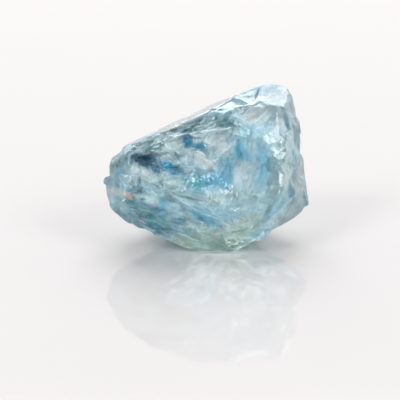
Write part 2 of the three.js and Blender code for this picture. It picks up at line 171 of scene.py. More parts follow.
# Small cuts that repeat all over the stone, each between its shallow depth and that plus the extra.
# A ledge's wall leans out by wall_lean, and a plate's corner drifts from the middle by so many
# widths of its flat.
CHIPS = dict(count=90, shallow=0.1, extra=0.32)
SPLINTERS = dict(count=60, shallow=0.25, extra=0.6, wall_in=0.35, wall_lean=14)
PLATES = dict(
    per_flat=3, shallow=0.16, extra=0.26, wall_lean=16, drift=0.35, floor_tip=3,
    narrowest=1.1, wider=0.9, drift_turn=2, tip_turn=1,
)
GROOVES = dict(count=9, first=-4.6, span=9, unevenness=0.35, deepest=0.16, least=0.45, opening=118)

# Steps that scatter a repeated cut's values evenly from 0 to 1, and its turn, in radians.
SCATTER = dict(depth=0.7548, chip_depth=2.7508, tip=0.31, width=0.57, place=0.618)
TURN = 2.4
GOLDEN = (1 + 5**0.5) / 2

# Small cuts stay off the foot: none faces it more squarely than this cosine.
FOOT_CLEAR = 0.82

# How far in worn edges are drawn, how much wear has left of the ribs' height, and how far under its
# flat the grown face still counts as grown.
EDGE_WEAR = 0.11
RIB_WEAR = 0.5
GROWN_DEPTH = 0.3

# How far a ray goes that meets nothing, how far a ray that misses a ball is followed, what counts as
# nothing, as running level with a plane and as lying on a face, and how many times EDGE_WEAR apart
# two breaks no longer blunt each other.
FAR = 1e9
MISSED = 1e3
TINY = 1e-6
LEVEL = 1e-9
NEAR_FACE = 1e-3
UNWORN = 50

# ---- Patches of the stone: where its colour, frost and flecks differ from the rest ----

# The tones of the stone's skin, 0 to 255.
TONES = {
    "hollow_shade_blue": (0, 54, 78), "navy": (0, 98, 136), "deep_blue": (0, 122, 158), "blue": (8, 150, 192),
    "sky": (70, 184, 226), "pale_sky": (150, 222, 240), "ice": (226, 246, 251),
    "white": (242, 253, 255), "frost": (230, 244, 242), "lilac": (206, 230, 247),
    "steel": (158, 200, 219), "slate": (112, 158, 174), "grey_teal": (20, 102, 110),
    "teal": (6, 116, 130), "sea": (50, 172, 190), "pale_sea": (205, 240, 242),
    "sage": (212, 230, 205), "olive": (165, 165, 100), "cream": (255, 250, 238),
    "tan": (255, 212, 165), "rust": (100, 36, 26),
}

# Each patch is an ellipsoid in the front frame: its centre and half sizes in millimetres, the turn of
# its length, its edge's softness, its tone and cover, and the frost and the flecks that it brings.
Patch = namedtuple("Patch", "centre half turn soft tone cover frost flecks")
PATCHES = {
    "mid_pale": Patch((2.3, -3.9, 5.3), (3.96, 0.93, 1.8), -18, 0.6, "pale_sea", 0.6, 0.3, 0.35),
    "strip": Patch((-5.5, 4.3, 4.2), (5.98, 0.76, 2.4), 24, 0.3, "slate", 0.95, 0.3, 0.9),
    "strip_gem": Patch((-6.8, 2.9, 5), (1.75, 0.7, 3), 20, 0.35, "grey_teal", 1, 0.1, 0.2),
    "strip_end": Patch((-1.1, 5.9, 3.9), (2.11, 0.7, 2), 38, 0.4, "slate", 0.9, 0.3, 0.9),
    "smooth_facet": Patch((2.6, 6.9, 3.8), (2.11, 1.41, 2), 20, 0.4, "sky", 0.35, 0, 0.1),
    "facet_shade": Patch((3.5, 7.8, 2.7), (1.42, 0.71, 2), 10, 0.6, "ice", 0.6, 0, 0.1),
    "facet_foot": Patch((1.6, 5.7, 4.4), (1.87, 0.64, 2.9), -14, 0.6, "grey_teal", 1, 0, 0.4),
    "crown": Patch((7.4, 7, 2.9), (3.54, 3.19, 4), 0, 0.3, "ice", 0.9, 0.5, 0.25),
    "crown_top": Patch((6.7, 9.6, -0.5), (2.41, 0.84, 2.4), 0, 0.5, "steel", 0.75, 0.8, 0.4),
    "crown_swirl": Patch((5.9, 7.2, 2.9), (1.42, 0.83, 2), -30, 0.5, "white", 1, 0.6, 0.2),
    "crown_warm": Patch((4.7, 6.4, 3.2), (0.47, 0.82, 2), 10, 0.6, "cream", 0.7, 0.6, 0.3),
    "crown_rim": Patch((10, 7.2, -0.6), (3.37, 0.84, 2.8), -72, 0.5, "white", 0.95, 0.4, 0.25),
    "crown_foot": Patch((6.5, 4.5, 3.9), (2.11, 1.06, 2.2), -10, 0.5, "sky", 0.4, 0.1, 0.2),
    "crown_side": Patch((9.2, 3.7, 2.7), (1.54, 0.95, 2.2), 80, 0.5, "ice", 0.8, 0.3, 0.3),
    "bowl": Patch((6.5, 0.4, 4.2), (3.99, 2.11, 3), 88, 0.4, "ice", 0.85, 0, 0.15),
    "bowl_deep": Patch((5.9, 0.6, 4.1), (3.05, 1.06, 2.4), 88, 0.6, "sky", 0.8, 0, 0.25),
    "bowl_right": Patch((7.9, -0.1, 4.1), (2.81, 0.94, 2.2), 86, 0.6, "pale_sea", 0.8, 0.1, 0.3),
    "bowl_sage": Patch((8.9, -0.8, 3.4), (2.35, 0.59, 2), 80, 0.7, "cream", 0.6, 0.2, 0.3),
    "bowl_low": Patch((5.8, -3.4, 4.8), (2.57, 0.82, 2), -4, 0.6, "pale_sea", 0.8, 0.2, 0.35),
    "bowl_blue": Patch((3.2, 2.6, 4.5), (1.99, 1.17, 2), -52, 0.5, "sky", 1, 0, 0.3),
    "bowl_spot": Patch((3.2, 2.3, 4.5), (0.94, 0.47, 1.6), -40, 0.7, "blue", 0.8, 0, 0.3),
    "bowl_head": Patch((3.9, 4.1, 4.5), (1.29, 0.7, 2), 70, 0.5, "pale_sky", 0.8, 0, 0.4),
    "glow": Patch((1.7, 0.6, 4.7), (1.52, 0.93, 1.8), -50, 0.5, "sky", 0.9, 0, 0.5),
    "mid_blue": Patch((0.4, -1.3, 5.4), (3.14, 1.11, 1.9), 6, 0.5, "sky", 1, 0, 0.25),
    "mid_sea": Patch((-2.4, -1.5, 6.2), (1.62, 0.93, 1.8), -5, 0.6, "sea", 1, 0, 0.15),
    "mid_violet": Patch((-0.7, -2.2, 6.1), (0.81, 0.46, 1.4), 10, 0.7, "sky", 0.3, 0.4, 0.2),
    "streak_end": Patch((-1.4, -0.1, 6), (1.28, 0.52, 1.4), 10, 0.6, "blue", 0.6, 0, 0.4),
    "lilac_gap": Patch((-2.8, 0.6, 6), (0.93, 0.52, 1.4), 85, 0.6, "lilac", 0.7, 0.1, 0.2),
    "flake": Patch((3.7, -0.5, 4.1), (1.64, 0.94, 1.6), 62, 0.3, "white", 0.6, 0.3, 0.2),
    "flake_edge": Patch((2.8, -1.1, 4.3), (0.94, 0.23, 1.2), 70, 0.6, "white", 0.7, 0.5, 0.3),
    "green_dip": Patch((-4.5, 1.8, 5.7), (1.16, 0.58, 1.5), 0, 0.5, "grey_teal", 0.95, 0.2, 0.4),
    "pale_fall": Patch((-6.1, 1.9, 4.9), (1.4, 0.41, 2.8), -5, 0.6, "white", 0.7, 0.5, 0.3),
    "pocket_crust": Patch((-4.2, 3.4, 4.9), (1.52, 1.05, 1.6), 35, 0.4, "frost", 0.95, 0.7, 0.5),
    "pocket_rim": Patch((-1.8, 5, 4.4), (1.17, 0.47, 1.6), 18, 0.5, "grey_teal", 1, 0.1, 0.12),
    "white_patch": Patch((0.7, 3.6, 5.2), (1.63, 1.17, 1.8), -32, 0.4, "white", 1, 0.8, 0.3),
    "white_shade": Patch((-0.5, 2.9, 5.7), (0.93, 0.35, 1.4), -25, 0.6, "steel", 0.6, 0.3, 0.6),
    "pocket": Patch((-3, 3.6, 5), (1.17, 0.76, 2.8), -48, 0.35, "navy", 1, 0.6, 0.05),
    "pocket_tail": Patch((-1.7, 2.9, 5.3), (1.22, 0.58, 2.8), -25, 0.45, "deep_blue", 1, 0, 0.1),
    "pocket_chip": Patch((-1.9, 4, 5), (0.47, 0.47, 2.6), 0, 0.4, "white", 1, 0.8, 0.1),
    "feather": Patch((-1.4, 1.3, 5.9), (2.09, 0.58, 1.6), -30, 0.45, "white", 1, 0.7, 0.25),
    "feather_top": Patch((-3, 2.2, 5.5), (0.81, 0.47, 1.5), -20, 0.5, "steel", 0.6, 0.7, 0.3),
    # hollow_tail, hollow_dark and hollow_low: deep blue, darkened further as painted shade in the dark
    # hollow.
    "hollow_tail": Patch((-6.8, 0.9, 4.5), (1.52, 0.88, 3), -38, 0.4, "navy", 1, 0, 0.3),
    "hollow_dark": Patch((-8.3, 1.2, 4.1), (1.58, 0.76, 3), -26, 0.35, "hollow_shade_blue", 1, 0, 0.06),
    "hollow_low": Patch((-6.9, 0.1, 4.7), (0.82, 0.3, 2.5), -28, 0.5, "navy", 1, 0, 0.2),
    "blue_streak": Patch((-4.9, 0.2, 5.6), (1.57, 0.76, 2.8), -24, 0.5, "blue", 1, 0, 0.25),
    "streak_spot": Patch((-4.5, 0.2, 5.6), (0.58, 0.47, 2.6), -20, 0.7, "navy", 1, 0, 0.1),
    "crust_pale": Patch((-5.3, -1.5, 6), (2.32, 0.81, 1.6), -8, 0.5, "pale_sea", 0.85, 0.6, 0.5),
    "crust_white": Patch((-8.5, -0.4, 4.5), (1.52, 0.76, 1.8), -26, 0.4, "white", 1, 0.8, 0.45),
    "crust_grey": Patch((-9.2, -1.7, 4.3), (0.82, 0.82, 1.6), 0, 0.5, "slate", 0.9, 0.4, 0.8),
    "lobe": Patch((-7.1, -3.2, 4.4), (0.94, 1.17, 1.6), 0, 0.3, "pale_sea", 0.9, 0.5, 0.4),
    "box": Patch((-11.1, -0.8, 2.6), (1.06, 1.24, 2.6), 0, 0.3, "steel", 0.9, 0, 0.1),
    "box_blue": Patch((-11.4, -0.3, 2.1), (0.47, 0.36, 2), 0, 0.7, "sky", 0.5, 0, 0.1),
    "box_low": Patch((-11.3, -1.7, 2.3), (0.95, 0.3, 2), -6, 0.5, "grey_teal", 0.6, 0.1, 0.5),
    "brow": Patch((-11.3, 1.6, 1.3), (1.31, 0.95, 2.6), 15, 0.3, "slate", 0.95, 0.2, 0.5),
    "brow_line": Patch((-10.9, 0.8, 2.5), (0.95, 0.24, 2), 14, 0.5, "grey_teal", 0.4, 0.1, 0.5),
    "pillar": Patch((-10.3, -0.8, 3.5), (1.35, 0.26, 1.4), 90, 0.4, "ice", 0.9, 0.2, 0.1),
    "knob": Patch((-12.9, -1.4, 0.3), (0.72, 0.96, 2.4), 0, 0.3, "steel", 0.85, 0, 0.1),
    "stain_pale": Patch((-11.5, -2.5, 1.9), (1.31, 0.48, 2.6), -8, 0.5, "cream", 1, 0.4, 0.2),
    "stain_tan": Patch((-10, -3, 3.2), (1.06, 0.38, 1.5), -12, 0.6, "tan", 0.9, 0.3, 0.3),
    "crust_foot": Patch((-8.8, -2.4, 4.1), (0.94, 0.26, 1.4), -8, 0.5, "grey_teal", 1, 0.2, 0.5),
    "rust_one": Patch((-9.3, -3.1, 3.7), (0.19, 0.13, 1), 0, 0.6, "rust", 0.9, 0.3, 0),
    "rust_two": Patch((-8.3, -3.3, 4.2), (0.26, 0.11, 1), 0, 0.6, "rust", 0.8, 0.3, 0),
    "left_low": Patch((-11.7, -4, 0.4), (1.32, 0.72, 2.4), -30, 0.4, "pale_sea", 0.8, 0, 0.2),
    "low_edge": Patch((-9.4, -6.3, 1.4), (3.81, 0.71, 2.4), -28, 0.5, "slate", 0.8, 0.2, 0.4),
    "low_teal": Patch((-7.1, -5.5, 3.1), (3.3, 1.3, 2), -22, 0.5, "teal", 1, 0.1, 0.3),
    "low_slate": Patch((-6.2, -6.8, 2.3), (1.66, 0.59, 1.8), -10, 0.6, "teal", 0.6, 0.1, 0.5),
    "teal_band": Patch((-9, -3.9, 3.7), (1.65, 0.61, 2.9), -8, 0.4, "teal", 1, 0, 0.3),
    "under_lobe": Patch((-5.8, -3.9, 4.1), (0.94, 0.7, 2.6), 70, 0.5, "sky", 0.9, 0, 0.5),
    "lobe_shade": Patch((-6.5, -4.5, 3.8), (0.76, 0.38, 2.5), 0, 0.5, "navy", 1, 0, 0.1),
    "ridge_teal": Patch((-4.8, -3.2, 4.5), (0.82, 0.4, 1.3), -30, 0.5, "grey_teal", 0.8, 0, 0.3),
    "low_pale": Patch((-3.6, -5, 3.6), (1.41, 0.71, 1.5), -30, 0.5, "sea", 0.4, 0.4, 0.7),
    "belly": Patch((1, -9.8, 0), (9, 1.7, 7), 0, 0.4, "sage", 0.8, 0.2, 0.3),
    "foot_sage": Patch((-0, -8.2, 2.3), (4.5, 0.95, 2.2), 0, 0.5, "sage", 0.85, 0.2, 0.3),
    "keel_sage": Patch((3.6, -6.8, 3.6), (2.35, 1.41, 2.2), 14, 0.5, "sage", 0.85, 0.2, 0.3),
    "low_streak": Patch((-1.1, -5.5, 3.6), (2.59, 1.06, 1.7), -33, 0.5, "blue", 1, 0, 0.35),
    "low_bright": Patch((-1, -4.5, 5.2), (1.4, 0.47, 1.4), -30, 0.6, "blue", 0.5, 0, 0.3),
    "low_spot": Patch((-1.2, -5.7, 3.5), (0.53, 0.28, 2.5), -30, 0.6, "navy", 1, 0, 0.1),
    "low_blue": Patch((-4, -6, 3.1), (0.83, 0.59, 2.7), -10, 0.45, "deep_blue", 0.9, 0, 0.2),
    "low_violet": Patch((-3.3, -7.3, 2.5), (0.95, 0.47, 1.6), -25, 0.6, "slate", 0.8, 0, 0.3),
    "olive_left": Patch((-3, -8.8, 1.4), (0.71, 0.36, 1.3), -15, 0.6, "olive", 0.8, 0, 0.4),
    "olive_right": Patch((2.6, -8.8, 1.8), (0.48, 0.42, 1.3), 0, 0.6, "olive", 0.7, 0, 0.3),
    "rim_low": Patch((8.9, -5.1, 2.3), (2.61, 1.07, 2.4), 40, 0.4, "white", 0.85, 0.1, 0.3),
    "rim": Patch((10.6, -0.7, 1.1), (3.22, 0.84, 2.8), 90, 0.4, "white", 0.95, 0.3, 0.25),
    "crack_left": Patch((-2.6, -3.2, 5.8), (1.74, 0.15, 1.3), -13, 0.6, "grey_teal", 0.8, 0, 0.2),
    "crack_right": Patch((-0, -3.9, 5.8), (1.63, 0.15, 1.3), -24, 0.6, "slate", 0.4, 0, 0.2),
    "crack_keel": Patch((2.4, -6, 4.8), (0.7, 0.12, 1.3), -50, 0.6, "slate", 0.4, 0, 0.1),
}

# The skin away from its patches is pale, with clouds of blue and green: how fine their noise is, the
# range of it over which a cloud comes in, and its cover.
PALE = (200, 232, 240)
BLUE = (134, 200, 226)
GREEN_GREY = (186, 216, 211)
BLUE_CLOUDS = dict(fineness=0.22, low=-0.15, high=0.35)
GREEN_CLOUDS = dict(fineness=0.35, low=0.1, high=0.6, cover=0.6)

# Frost and flecks there, and how much more of each the palest parts have.
PLAIN_FROST = (0.1, 0.25)
PLAIN_FLECKS = (0.18, 0.2)
PALEST = 0.4

# The grown face; the white of threads, flecks and worn ridges with their painted highlight; dark flecks.
GROWN_PINK = (236, 227, 228)
GROWN_COVER = 0.8
PALE_AND_HIGHLIGHT_WHITE = (240, 246, 247)
DARK_FLECK = (20, 72, 86)

# Noise shifts the edges of the patches and clouds by up to RAGGED, at this fineness.
RAGGED = 0.45
RAGGED_FINENESS = 1.1

# Painted light and shade that each break gets at random, for breaks that catch the light differently: how
# strong where there are no flecks, and for small and wide ones.
LEAST_PAINTED_SHADE = 0.1
FACET_PAINTED_SHADE = 0.6
WIDE_PAINTED_SHADE = 0.3

# How much painted shade darkens the gaps between threads, where the skin is also sunk, and how much
# threads, thin lines and ridges pale it, the ridges with wear and a painted highlight. The share TINTED
# of that only lightens the tone that is there. Each comes in over a range of the threads' band or of
# the nearness to a ridge.
GAP_PAINTED_SHADE = 1.0
THREAD_PALENESS = 0.9
LINE_PALENESS = 1.0
RIDGE_WEAR_AND_HIGHLIGHT = 0.4
TINTED = 0.55
GAP_SHADE_RANGE = (0, 0.7)
THREAD_RANGE = (0.1, 0.8)
RIDGE_HIGHLIGHT_RANGE = (0.45, 1)

# The finish of the crystal. Skin tones are deepened by a power, because light crosses the skin only once.
IOR = 1.58
TRANSMISSION = 0.74
ABSORBED_COLOUR = (0.42, 0.8, 0.9, 1)
ABSORPTION = 16
DEEPEN = 1.1


# ---- Directions, planes and even spreads ----


def facing(bearing, tilt):
    b, t = np.radians(bearing), np.radians(tilt)
    return np.array([np.cos(t) * np.cos(b), np.cos(t) * np.sin(b), np.sin(t)])


FOOT_FACING = facing(-90, -VIEW_DROP)


def break_plane(bearing, tilt, reach, depth):
    """A plane as its normal and its distance from the heart: reach and depth along the normal."""
    t = np.radians(tilt)
    return np.array([*facing(bearing, tilt), np.cos(t) * reach + np.sin(t) * depth])


def plane_through(normal, point, inward=0.0):
    return np.array([*normal, normal @ point - inward])


def scatter(i, step):
    """A number from 0 to 1 that jumps about evenly as i counts up."""
    return (i * step) % 1.0


def spiral(count):
    """Directions spread evenly over a ball: equal steps in z, each turned by the golden angle."""
    i = np.arange(count)
    z = 1 - (2 * i + 1) / count
    turn = 2 * np.pi * i / GOLDEN
    wide = np.sqrt(1 - z * z)
    return np.stack([wide * np.cos(turn), wide * np.sin(turn), z], 1)


def sideways(normal, turn):
    """A unit vector square to the normal, turned about it."""
    start = (0.0, 0.0, 1.0) if abs(normal[2]) < 0.9 else (1.0, 0.0, 0.0)
    a = np.cross(normal, start)
    a = a / np.linalg.norm(a)
    return np.cos(turn) * a + np.sin(turn) * np.cross(normal, a)


def leaning(normal, side, degrees):
    """The side direction, leaned towards the normal by so many degrees."""
    t = np.radians(degrees)
    return np.cos(t) * side + np.sin(t) * normal


def eased(value, low, high):
    """0 below low, 1 above high, eased between them."""
    share = np.clip((value - low) / (high - low), 0, 1)
    return share * share * (3 - 2 * share)


# ---- The form: how far the stone reaches from its heart in each direction ----


def corners_of(planes):
    """Every point where three planes meet that no other plane cuts off."""
    trios = np.array(list(itertools.combinations(range(len(planes)), 3)))
    normals, distances = planes[trios][:, :, :3], planes[trios][:, :, 3]
    meet = np.abs(np.linalg.det(normals)) > TINY
    points = np.linalg.solve(normals[meet], distances[meet][..., None])[..., 0]
    inside = (points @ planes[:, :3].T <= planes[:, 3] + TINY).all(1)
    return points[inside]


def chip_planes(corners):
    """Flat chips all round: each a little inside the stone's furthest corner along its direction."""
    outward = spiral(CHIPS["count"])
    deepness = scatter(np.arange(len(outward)), SCATTER["chip_depth"]) ** 2
    reach = (corners @ outward.T).max(0) - CHIPS["shallow"] - CHIPS["extra"] * deepness
    clear = outward @ FOOT_FACING < FOOT_CLEAR
    return np.column_stack([outward, reach])[clear]


def splinter_ledges(corners):
    """Splinters off the corners: a floor just inside the corner and one steep wall beside it."""
    ledges = []
    for i, out in enumerate(spiral(SPLINTERS["count"])):
        if out @ FOOT_FACING > FOOT_CLEAR:
            continue
        corner = corners[(corners @ out).argmax()]
        depth = SPLINTERS["shallow"] + SPLINTERS["extra"] * scatter(i, SCATTER["depth"])
        wall = leaning(out, sideways(out, i * TURN), SPLINTERS["wall_lean"])
        floor = plane_through(out, corner, depth)
        ledges.append([floor, plane_through(wall, corner, SPLINTERS["wall_in"])])
    return ledges


def plate_ledge(i, normal, middle, spread):
    """One thin plate split off a flat: a floor just under it and two steep walls that meet."""
    turn = i * TURN
    drift = PLATES["drift"] * spread * scatter(i, SCATTER["place"])
    place = middle + drift * sideways(normal, turn + PLATES["drift_turn"])
    tip = 90 - PLATES["floor_tip"] * scatter(i, SCATTER["tip"])
    floor = leaning(normal, sideways(normal, turn + PLATES["tip_turn"]), tip)
    depth = PLATES["shallow"] + PLATES["extra"] * scatter(i, SCATTER["depth"])
    opening = PLATES["narrowest"] + PLATES["wider"] * scatter(i, SCATTER["width"])
    walls = [leaning(normal, sideways(normal, turn + side), PLATES["wall_lean"]) for side in (0, opening)]
    return [plane_through(floor, middle, depth), *(plane_through(wall, place) for wall in walls)]


def plate_ledges(flats, corners):
    """Plates split off each flat but the foot and the grown face, about the middle of its corners."""
    ledges = []
    per_flat = PLATES["per_flat"]
    for index, (name, flat) in enumerate(zip(FLATS, flats)):
        normal, distance = flat[:3], flat[3]
        face = corners[np.abs(corners @ normal - distance) < NEAR_FACE]
        if name in ("foot", "striated_top") or len(face) < 3:
            continue
        middle = (face.min(0) + face.max(0)) / 2
        middle = middle + normal * (distance - middle @ normal)
        spread = np.linalg.norm(face - middle, axis=1).max()
        numbers = range(index * per_flat, (index + 1) * per_flat)
        ledges += [plate_ledge(i, normal, middle, spread) for i in numbers]
    return ledges


def groove_ledges(flat):
    """Grooves along the grown face: each a shallow V of two planes that meet just under the face."""
    normal, distance = flat[:3], flat[3]
    along = np.cross(normal, (0.0, 0.0, 1.0))
    across = np.cross(normal, along / np.linalg.norm(along))
    lean = np.radians(90 - GROOVES["opening"] / 2)
    ledges = []
    for i in range(GROOVES["count"]):
        uneven = i + GROOVES["unevenness"] * np.sin(TURN * i)
        place = GROOVES["first"] + GROOVES["span"] * uneven / (GROOVES["count"] - 1)
        deepness = GROOVES["least"] + (1 - GROOVES["least"]) * scatter(i, SCATTER["depth"])
        low = normal * (distance - GROOVES["deepest"] * deepness) + across * place
        sides = [np.cos(lean) * normal + way * np.sin(lean) * across for way in (1, -1)]
        ledges.append([plane_through(side, low) for side in sides])
    return ledges


def reach_of_planes(rays, planes):
    """Distance to each plane along each ray: d / (n · ray), or FAR where the ray turns away."""
    towards = rays @ planes[:, :3].T
    meets = towards > TINY
    return np.where(meets, planes[:, 3] / np.where(meets, towards, 1), FAR)


def reach_of_ball(rays, centre, radius):
    """First meeting of each ray with a ball: b - sqrt(b² - |c|² + r²), with b = c · ray."""
    b = rays @ centre
    inside = b * b - centre @ centre + radius * radius
    return np.where((inside > 0) & (b > 0), b - np.sqrt(np.maximum(inside, 0)), FAR)


def reach_of_ribbed_ball(rays, centre, radius, strike, pitch, height):
    """A ball whose radius swells as height · cos(2π arc / pitch), with the arc from the blow's
    point, near which it dies away."""
    axis = (strike - centre) / np.linalg.norm(strike - centre)
    met = rays * np.minimum(reach_of_ball(rays, centre, radius), MISSED)[:, None] - centre
    arc = radius * np.arccos(np.clip(met @ axis / radius, -1, 1))
    swell = RIB_WEAR * height * np.minimum(arc / pitch, 1) * np.cos(2 * np.pi * arc / pitch)
    return reach_of_ball(rays, centre, radius + swell)


def reach_of_ledge(rays, planes):
    """Where each ray enters the space beyond all of the planes, or FAR where it never does."""
    enter, leave = np.zeros(len(rays)), np.full(len(rays), FAR)
    for plane in planes:
        c = rays @ plane[:3]
        along = np.abs(c) < LEVEL
        t = plane[3] / np.where(along, 1.0, c)
        enter = np.where(~along & (c > 0), np.maximum(enter, t), enter)
        leave = np.where(~along & (c < 0), np.minimum(leave, t), leave)
        enter = np.where(along & (plane[3] > 0), FAR, enter)
    return np.where(enter < leave, enter, FAR)


def blunt(reach, other):
    """The nearer of two breaks, drawn in along the edge where they meet, since edges are worn: the
    smaller less wear · ln(1 + e^(-|difference| / wear))."""
    apart = np.minimum(np.abs(reach - other) / EDGE_WEAR, UNWORN)
    return np.minimum(reach, other) - EDGE_WEAR * np.log1p(np.exp(-apart))


def scoop_reach(rays, name):
    """Where each ray meets a hollow break, ribbed or plain."""
    centre, radius = np.array(SCOOPS[name][0], float), SCOOPS[name][1]
    if name not in RIBS:
        return reach_of_ball(rays, centre, radius)
    strike, pitch, height = RIBS[name]
    return reach_of_ribbed_ball(rays, centre, radius, np.array(strike), pitch, height)


def stone_reach(rays):
    """The stone's radius along each ray, the nearest of all its breaks, and whether the ray meets the
    grown face."""
    flats = np.array([break_plane(*flat) for flat in FLATS.values()])
    corners = corners_of(flats)
    flat_reach = reach_of_planes(rays, flats)
    chip_reach = reach_of_planes(rays, chip_planes(corners))
    reach = functools.reduce(blunt, [*flat_reach.T, *chip_reach.T])
    for name in SCOOPS:
        reach = blunt(reach, scoop_reach(rays, name))
    ledges = [[break_plane(*plane) for plane in planes] for planes in LEDGES.values()]
    for ledge in ledges + plate_ledges(flats, corners) + splinter_ledges(corners):
        reach = blunt(reach, reach_of_ledge(rays, ledge))
    grown = flat_reach.argmin(1) == list(FLATS).index("striated_top")
    grown &= reach > flat_reach.min(1) - GROWN_DEPTH
    for groove in groove_ledges(flats[0]):
        reach = np.minimum(reach, reach_of_ledge(rays, groove))
    return reach, grown


# ---- Fine relief ----

# Where each kind of noise takes its values from.
CHANNELS = dict(
    warp=(11, 12, 13), broad=20, grains=(40, 50, 60, 70, 80, 110), crumbs=130,
    ragged=(150, 160, 170), blue=180, green=190, wander=(220, 221, 222), bands=230, lines=300,
)

# What mixes the bits of a cell's numbers.
CELL_MIX = (73856093, 19349663, 83492791, 2654435761)
BIT_MIX = (0x2C1B3C6D, 0x297A2D39)
ALL_BITS = 0xFFFFFFFF


def hashed(cells, channel):
    """A fixed value from 0 to 1 for each whole-numbered cell, from mixed bits of its numbers."""
    i, j, k = (cells[:, axis].astype(np.int64) for axis in range(3))
    bits = (i * CELL_MIX[0]) ^ (j * CELL_MIX[1]) ^ (k * CELL_MIX[2]) ^ (channel * CELL_MIX[3])
    bits &= ALL_BITS
    bits = ((bits ^ (bits >> 15)) * BIT_MIX[0]) & ALL_BITS
    bits = ((bits ^ (bits >> 12)) * BIT_MIX[1]) & ALL_BITS
    return (bits ^ (bits >> 15)) / 2**32


def noise(points, channel):
    """Smooth noise from -1 to 1: the values at the corners of unit cells, eased between them."""
    low = np.floor(points)
    ease = (points - low) ** 2 * (3 - 2 * (points - low))
    total = np.zeros(len(points))
    for corner in itertools.product((0, 1), repeat=3):
        weight = np.where(np.array(corner), ease, 1 - ease).prod(1)
        total += weight * hashed(low + corner, channel)
    return 2 * total - 1


def rough_noise(points, channel, octaves):
    """Noise added to itself at twice the detail and half the height, several times."""
    return sum(noise(points * 2**o, channel + o) / 2**o for o in range(octaves))


def noise_shift(points, channels, octaves=1):
    """A shift for each point: noise of its own along x, y and z."""
    return np.stack([rough_noise(points, channel, octaves) for channel in channels], 1)


# Small dishes: how far they lean, how much deeper some lie, the height they are cut to and how wide
# the ridges between them are.
DISH = dict(lean=1.4, drop=0.5, top=0.55, ridge=0.08)


def dishes(points, channel):
    """Small dished breaks in unit cells: the lowest of the dishes |p - c|² + lean g · (p - c) + drop v
    about scattered centres c. Gives how deep it lies, from 0 to 1, its nearness to a ridge and its
    own value."""
    low = np.floor(points)
    first = np.full(len(points), FAR)
    second = first.copy()
    own = np.zeros(len(points))
    for step in itertools.product((-1, 0, 1), repeat=3):
        cell = low + step
        away = points - cell - np.stack([hashed(cell, channel + k) for k in range(3)], 1)
        slope = np.stack([hashed(cell, channel + 3 + k) for k in range(3)], 1) - 0.5
        value = hashed(cell, channel + 6)
        height = (away**2).sum(1) + DISH["lean"] * (slope * away).sum(1) + DISH["drop"] * value
        closer = height < first
        second = np.where(closer, first, np.minimum(second, height))
        own = np.where(closer, hashed(cell, channel + 7), own)
        first = np.where(closer, height, first)
    ridge = np.exp(-(second - first) / DISH["ridge"])
    return np.clip(DISH["top"] - first, 0, DISH["top"]) / DISH["top"], ridge, own


def along_and_across(points, turn):
    """Each point's place along a direction of the front view, across it, and its depth."""
    t = np.radians(turn)
    along = points[:, 0] * np.cos(t) + points[:, 1] * np.sin(t)
    across = points[:, 1] * np.cos(t) - points[:, 0] * np.sin(t)
    return np.stack([along, across, points[:, 2]], 1)


def stretched(points, size, turn, stretch):
    """Points in cells of this size, drawn out along a direction of the front view."""
    return along_and_across(points, turn) / (stretch, 1, 1) / size


# An area of the stone: an ellipsoid as a patch has it, with a soft edge.
Area = namedtuple("Area", "centre half turn soft")


def area_share(points, area):
    """1 inside an area or a patch, fading to 0 past its edge: its unit ellipsoid, eased by its
    softness."""
    away = along_and_across(points - area.centre, area.turn)
    size = np.linalg.norm(away / area.half, axis=1)
    share = np.clip((1 + area.soft - size) / (2 * area.soft), 0, 1)
    return share * share * (3 - 2 * share)


# Calm areas, where the breaks are smooth, and how much smoother they are.
CALM = ("smooth_facet", "bowl", "box", "flake", "rim_low", "rim", "brow", "knob", "crown")
CALM_SHARE = 0.7

# The grain of the rest: turn and stretch of the small breaks, the size and depth of a cell, and its
# area. The back's grain is wherever no other is.
Grain = namedtuple("Grain", "turn stretch size depth area")
GRAIN_SOFT = 0.35
GRAINS = (
    Grain(-28, 3.2, 0.62, 0.15, Area((-4, -6.4, 2), (9, 3.4, 6), 0, GRAIN_SOFT)),
    Grain(24, 3, 0.5, 0.14, Area((-5, 4.6, 3), (7.5, 2.6, 6), 0, GRAIN_SOFT)),
    Grain(84, 3.5, 0.6, 0.06, Area((6, 1, 4), (4, 5, 5), 0, GRAIN_SOFT)),
    Grain(38, 1.8, 0.9, 0.1, Area((7, 8, 1), (5, 3.4, 6), 0, GRAIN_SOFT)),
    Grain(-12, 1.5, 0.55, 0.15, Area((-6, -0.5, 5), (6, 3.4, 4), 0, GRAIN_SOFT)),
)
BACK_GRAIN = Grain(60, 1.8, 0.8, 0.13, None)

# Wide dishes all over, crumbs where the stone is frosted, and the warp that bends the small breaks.
BROAD = dict(size=2.1, depth=0.22, calmest=0.4)
CRUMBS = dict(size=0.35, depth=0.05, least=0.25, octaves=2)
WARP = dict(fineness=0.9, reach=0.35)

# Threads: fine pale and dark lines drawn out along the grain. The size of a cell, their stretch, how
# far and how finely they wander, how strong the bands are, the fineness and width of the thin
# lines, and how deep the dark ones lie, and least without flecks.
THREADS = dict(
    size=0.3, stretch=4.5, wander=0.5, wander_fineness=0.6, band=1.5, line_fineness=0.7,
    line=0.2, depth=0.07, least=0.3,
)

Relief = namedtuple("Relief", "inward ridge own small_own")


def grain_shares(points):
    """How much of each point belongs to each grain, the first ones first, and to the back's grain."""
    left = np.ones(len(points))
    shares = []
    for grain in GRAINS:
        share = np.minimum(area_share(points, grain.area), left)
        left = left - share
        shares.append(share)
    return (*shares, left)


